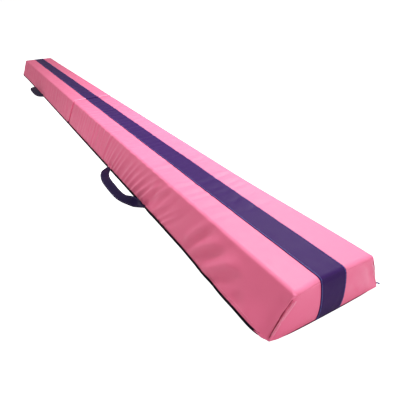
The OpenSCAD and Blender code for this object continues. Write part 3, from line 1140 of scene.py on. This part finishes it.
def finish_node(name, material):
    """A CAD node whose shape is right gets its finished material."""
    mesh = frame["nodes"][name].data
    mesh.materials.clear()
    mesh.materials.append(material)
    for polygon in mesh.polygons:
        polygon.material_index = 0


# ---- handles
STRAP_SECTION = 18
STRAP_ROWS = 90
STITCH_ROW = 0.78  # how far out across the strap its stitches run


def strap_outline(half_strap):
    """The strap's section: full in the middle, thin at the stitch rows and round at the edges."""
    out = []
    for a in np.arange(STRAP_SECTION) * 2 * math.pi / STRAP_SECTION:
        across = power(math.cos(a), 0.75)
        body = 1.35 * MM - 0.35 * MM * bell(abs(across), STITCH_ROW, 0.13)
        out.append((across * half_strap, power(math.sin(a), 0.6) * body))
    return out


def strap_frames(half):
    """Places and directions along a handle's strap, from one sewn end to the other."""
    lo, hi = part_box(f"{half}_handle")
    strap = LOOK[half]["strap"]
    bow = HANDLE_HINGE.y - lo.y - strap * 0.92
    reach = (hi.x - lo.x) / 2 - strap * 1.25
    ts = np.linspace(-1.1, 1.1, STRAP_ROWS)
    loop = np.minimum(np.abs(ts), 1.0)
    tucked = np.maximum(np.abs(ts) - 1.0, 0) / 0.1
    x = np.sign(ts) * (loop * reach + 3 * MM * tucked)
    y = HANDLE_HINGE.y - bow * (1 - loop**3.2) + 11 * MM * tucked
    if half == "left":
        degrees = 14 * (1 - loop**2)
    else:
        degrees = 10 + 30 * bell(ts, 0.80, 0.20) - 16 * bell(ts, -0.75, 0.25)
        degrees = degrees * (1 - smooth(0.9, 1.05, np.abs(ts)))
    tilt = np.radians(degrees)
    z = HANDLE_HINGE.z + np.abs(np.sin(tilt)) * strap * 0.9 + 0.2 * MM
    centre = evened(np.stack([x, y, z], 1), 6)
    tangent = unit(np.gradient(centre, axis=0))
    up = np.tile([0.0, 0.0, 1.0], (STRAP_ROWS, 1))
    level = unit(np.cross(tangent, up))
    out = up * np.sin(tilt)[:, None] - level * np.cos(tilt)[:, None]
    out = unit(out - tangent * np.sum(out * tangent, 1, keepdims=True))
    normal = np.cross(out, tangent)
    normal *= np.sign(normal[:, 2:3])
    narrow = 1 - 0.22 * smooth(0.88, 1.0, np.abs(ts))
    return centre + [HANDLE_X, 0, 0], tangent, out * narrow[:, None], normal


def build_handle(half):
    """A strap of folded vinyl with a row of stitches along each edge, bent into its loop."""
    centre, tangent, out, normal = strap_frames(half)
    outline = strap_outline(LOOK[half]["strap"])
    points = [c + o * a + n * b for c, o, n in zip(centre, out, normal) for a, b in outline]
    obj = mesh_object(f"{half}_handle_strap", points, tube_faces(STRAP_ROWS, STRAP_SECTION), strap_vinyl)
    subdivide(obj)
    rows = []
    for edge in (-1, 1):
        line = centre + out * edge * LOOK[half]["strap"] * STITCH_ROW
        travel = travelled(line)
        at = np.arange(16 * MM, travel[-1] - 16 * MM, 3.6 * MM)
        for p, t, n in zip(*(resampled(at, travel, table) for table in (line, tangent, normal))):
            rows += [(p + n * 0.95 * MM, t, n), (p - n * 0.95 * MM, t, -n)]
    sewn = stitches(f"{half}_handle_thread", rows, 2.7 * MM, 0.30 * MM, strap_thread)
    for piece in (obj, sewn):
        mirror(piece, half)
        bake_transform(piece)
    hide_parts(f"{half}_handle")


# ---- zips
# Zip pieces are given in the zip's own frame, in millimetres: X along the zip from the fold, Y down the slope
# and Z outwards from the flat side.
OUTWARDS = Vector((0, math.cos(LEAN), math.sin(LEAN)))
PIN_Z = (PULL_PIN - Vector((0, half_width(0), 0))).dot(OUTWARDS) / MM
ORIGIN = PULL_PIN - OUTWARDS * PIN_Z * MM
ZIP_FRAME = Matrix.Translation((0, ORIGIN.y, ORIGIN.z)) @ Matrix.Rotation(LEAN - math.pi / 2, 4, "X")
ZIP_FRAME = ZIP_FRAME @ Matrix.Diagonal((MM, MM, MM, 1))
PULL_X = PULL_PIN.x / MM
COIL_START, COIL_END = COIL_LO.x / MM, COIL_HI.x / MM


def zip_piece(obj, half, slot, *nodes, part="half"):
    """Moves a piece from the zip's frame to its place on the half."""
    obj.data.transform(ZIP_FRAME)
    fit(obj, half, slot, *nodes, part=part)


def rounded_box(lo, hi, bevel):
    """Points and faces of a box with its edges cut at 45 degrees."""
    lo, hi = np.array(lo, float), np.array(hi, float)
    centre, half = (lo + hi) / 2, (hi - lo) / 2
    points, index = [], {}
    for signs in product((-1, 1), repeat=3):
        for axis in range(3):
            inner = half - bevel
            inner[axis] = half[axis]
            index[(*signs, axis)] = len(points)
            points.append(centre + np.array(signs) * inner)
    faces = []
    for axis in range(3):
        a, b = (axis + 1) % 3, (axis + 2) % 3

        def corner(s, u, v, facing):
            signs = [0, 0, 0]
            signs[axis], signs[a], signs[b] = s, u, v
            return index[(*signs, facing)]

        for s in (-1, 1):
            ring = [corner(s, u, v, axis) for u, v in ((-1, -1), (1, -1), (1, 1), (-1, 1))]
            faces.append(tuple(ring if s > 0 else reversed(ring)))
        for u, v in product((-1, 1), repeat=2):
            ring = [corner(s, u, v, facing) for s, facing in ((-1, a), (1, a), (1, b), (-1, b))]
            faces.append(tuple(ring if u * v < 0 else reversed(ring)))
    for signs in product((-1, 1), repeat=3):
        ring = [index[(*signs, axis)] for axis in range(3)]
        faces.append(tuple(ring if math.prod(signs) > 0 else reversed(ring)))
    return points, faces


def boxes(name, parts, material):
    """One mesh of several bevelled boxes, each given as (low corner, high corner, bevel)."""
    points, faces = [], []
    for lo, hi, bevel in parts:
        start = len(points)
        box_points, box_faces = rounded_box(lo, hi, bevel)
        points.extend(box_points)
        faces.extend(tuple(start + k for k in face) for face in box_faces)
    return mesh_object(name, points, faces, material, smooth_shading=False)


def build_coil(half):
    """The closed coil: teeth from both tapes, over the cord that each row is sewn on."""
    pitch = 2.6
    teeth, cords = [], []
    for x in np.arange(COIL_START + 0.8, COIL_END - 0.8, pitch):
        for side in (-1, 1):
            middle = x + (side > 0) * pitch / 2
            y0, y1 = sorted((side * 0.55, side * 2.65))
            teeth.append(((middle - 0.75, y0, -0.93), (middle + 0.75, y1, 0.6), 0.32))
    for side in (-1, 1):
        y0, y1 = sorted((side * 0.9, side * 2.3))
        cords.append(((COIL_START, y0, -0.9), (COIL_END, y1, 0.1), 0.3))
    zip_piece(boxes(f"{half}_zip_teeth", teeth, zip_nylon), half, "zip_coil", "zip_coil")
    zip_piece(boxes(f"{half}_zip_cord", cords, zip_nylon), half, "zip_coil")


def build_slider(half):
    """The slider: two plates joined by a post, and the bridge that holds the pull."""
    top = PIN_Z - 2
    parts = [
        ((-4.7, -4, top - 0.8), (4.7, 4, top), 0.35),
        ((-4.7, -4, -2.6), (4.7, 4, -1.8), 0.3),
        ((-2, -0.24, -2), (2, 0.24, top - 0.5), 0.05),
        ((-1.2, -2.6, top - 0.3), (1.2, -1.8, PIN_Z + 1), 0.25),
        ((-1.2, 1.8, top - 0.3), (1.2, 2.6, PIN_Z + 1), 0.25),
        ((-0.5, -2.2, PIN_Z - 0.5), (0.5, 2.2, PIN_Z + 0.5), 0.2),
    ]
    parts = [(np.add(lo, (PULL_X, 0, 0)), np.add(hi, (PULL_X, 0, 0)), bevel) for lo, hi, bevel in parts]
    slider = boxes(f"{half}_zip_runner", parts, zip_metal)
    zip_piece(slider, half, "zip_metal", "zip_slider", part="zip_slider")


def build_pull(half):
    """A flat pull tab with a rounded end and a waist at its eye."""
    length, rows, around = 21, 25, 8
    points = []
    for t in np.linspace(0, 1, rows):
        waist = 1.55 + 1.45 * smooth(0.08, 0.3, t)
        width = max(waist * math.sqrt(max(0.0, 1 - max(0.0, (t - 0.86) / 0.14) ** 2)), 0.15)
        for a in (np.arange(around) + 0.5) * 2 * math.pi / around:
            y, z = width * power(math.cos(a), 0.5), 0.6 * power(math.sin(a), 0.5)
            points.append((PULL_X - t * length, y, PIN_Z + z))
    tab = mesh_object(f"{half}_zip_tab", points, tube_faces(rows, around), zip_metal)
    zip_piece(tab, half, "zip_metal", "zip_pull", part="zip_pull")
    rows, around = 20, 8
    eye = []
    for turn in np.arange(rows) * 2 * math.pi / rows:
        for section in np.arange(around) * 2 * math.pi / around:
            radius = 1.15 + 0.42 * math.cos(section)
            y = 1.5 * math.sin(section)
            eye.append((PULL_X + radius * math.cos(turn), y, PIN_Z + radius * math.sin(turn)))
    faces = grid_faces(rows, around, wrap=True)
    last = (rows - 1) * around
    faces += [(last + j, last + (j + 1) % around, (j + 1) % around, j) for j in range(around)]
    zip_piece(mesh_object(f"{half}_zip_eye", eye, faces, zip_metal), half, "zip_metal", part="zip_pull")


def build_stops(half):
    """The metal crimps at the coil's two ends."""
    parts = [((x, -2.7, -0.9), (x + 3, 2.7, 0.6), 0.4) for x in (COIL_START - 3.5, COIL_END + 0.5)]
    zip_piece(boxes(f"{half}_zip_crimps", parts, zip_metal), half, "zip_metal", "zip_stops")


# ---- build the beam
PLAIN_NODES = {"handle_tabs": strap_vinyl, "zip_tapes": zip_cloth, "hinge_flap": pink_vinyl}

for half_name in LOOK:
    surface = build_cover(half_name)
    build_stripe(half_name, surface)
    build_side_thread(half_name, surface)
    build_corner_shade_strip(half_name, surface)
    build_corner_thread(half_name, surface)
    build_core(half_name, "core_lower", surface)
    build_core(half_name, "core_upper", surface)
    build_base(half_name, surface)
    build_tape_tail(half_name)
    build_fold_panel(half_name)
    build_handle(half_name)
    build_coil(half_name)
    build_slider(half_name)
    build_pull(half_name)
    build_stops(half_name)
    for node_name, node_material in PLAIN_NODES.items():
        finish_node(f"{half_name}_{node_name}", node_material)
build_bead()

# ---- studio
# Each light: place, target, size and power.
LIGHTS = {
    "key": ((0.56, 0.50, 1.15), (0.54, 0.0, 0.08), (1.2, 0.8), 40),
    "fill_side": ((-2.2, -2.6, 1.3), (0.1, 0.0, 0.05), (2.0, 1.2), 20.5),
    "fill_end": ((3.0, 0.6, 0.95), (1.2, 0.0, 0.05), (1.2, 1.0), 27),
}
SKY_LOW = 0.10
SKY_HIGH = 0.90
FLOOR_HALF = 30

# Brightness in the scene and on the picture, along a gentle curve that keeps the pink from burning out.
TONES = ((0.35, 0.345), (0.62, 0.60), (0.95, 0.82))

# The camera stands near the right half's outer end, on the handle side, a little above the beam.
CAMERA_PLACE = Vector((1.4986, -0.3612, 0.4390))
CAMERA_AZIMUTH = math.radians(118.56)
CAMERA_PITCH = math.radians(29.10)
CAMERA_ROLL = math.radians(-2.34)
CAMERA_LENS = 34.4


def area_light(name, place, target, size, power):
    """A soft rectangular light that faces its target."""
    light = bpy.data.lights.new(name, "AREA")
    light.shape = "RECTANGLE"
    light.size, light.size_y = size
    light.energy = power
    obj = bpy.data.objects.new(name, light)
    obj.location = place
    obj.rotation_mode = "QUATERNION"
    obj.rotation_quaternion = (Vector(target) - Vector(place)).to_track_quat("-Z", "Y")
    bpy.context.scene.collection.objects.link(obj)


def sky():
    """Soft light from all round, brighter overhead. The camera sees it plain white."""
    world = bpy.data.worlds.new("studio")
    bpy.context.scene.world = world
    world.use_nodes = True
    nodes, links = world.node_tree.nodes, world.node_tree.links
    parts = nodes.new("ShaderNodeSeparateXYZ")
    links.new(nodes.new("ShaderNodeTexCoord").outputs["Generated"], parts.inputs[0])
    height = nodes.new("ShaderNodeMapRange")
    links.new(parts.outputs["Z"], height.inputs["Value"])
    height.inputs["To Min"].default_value = SKY_LOW
    height.inputs["To Max"].default_value = SKY_HIGH
    choose = nodes.new("ShaderNodeMix")
    links.new(nodes.new("ShaderNodeLightPath").outputs["Is Camera Ray"], choose.inputs[0])
    links.new(height.outputs["Result"], choose.inputs[2])
    choose.inputs[3].default_value = WHITE
    links.new(choose.outputs[0], nodes["Background"].inputs["Strength"])
    nodes["Background"].inputs["Color"].default_value = (1, 1, 1, 1)


def tone_curve():
    """Sets the picture's tones."""
    view = bpy.context.scene.view_settings
    view.view_transform = "Standard"
    view.use_curve_mapping = True
    mapping = view.curve_mapping
    mapping.white_level = (WHITE, WHITE, WHITE)
    for scene_value, shown in TONES:
        mapping.curves[3].points.new(scene_value / WHITE, shown)
    mapping.update()


def studio():
    """The floor, the sky, the lights and the picture's tones."""
    corners = [(FLOOR_HALF * x, FLOOR_HALF * y, 0) for x, y in ((-1, -1), (1, -1), (1, 1), (-1, 1))]
    mesh_object("studio_floor", corners, [(0, 1, 2, 3)], floor_paint())
    sky()
    for name, settings in LIGHTS.items():
        area_light(name, *settings)
    tone_curve()


def camera():
    """The camera, at the viewing angle of the picture."""
    data = bpy.data.cameras.new("camera")
    data.lens = CAMERA_LENS
    data.sensor_width = 36
    data.clip_start = 0.01
    obj = bpy.data.objects.new("camera", data)
    level = math.cos(CAMERA_PITCH)
    ahead = (-math.sin(CAMERA_AZIMUTH) * level, -math.cos(CAMERA_AZIMUTH) * level, -math.sin(CAMERA_PITCH))
    roll = Matrix.Rotation(CAMERA_ROLL, 4, "Z").to_quaternion()
    obj.rotation_mode = "QUATERNION"
    obj.rotation_quaternion = Vector(ahead).to_track_quat("-Z", "Y") @ roll
    obj.location = CAMERA_PLACE
    bpy.context.scene.collection.objects.link(obj)
    bpy.context.scene.camera = obj


studio()
camera()
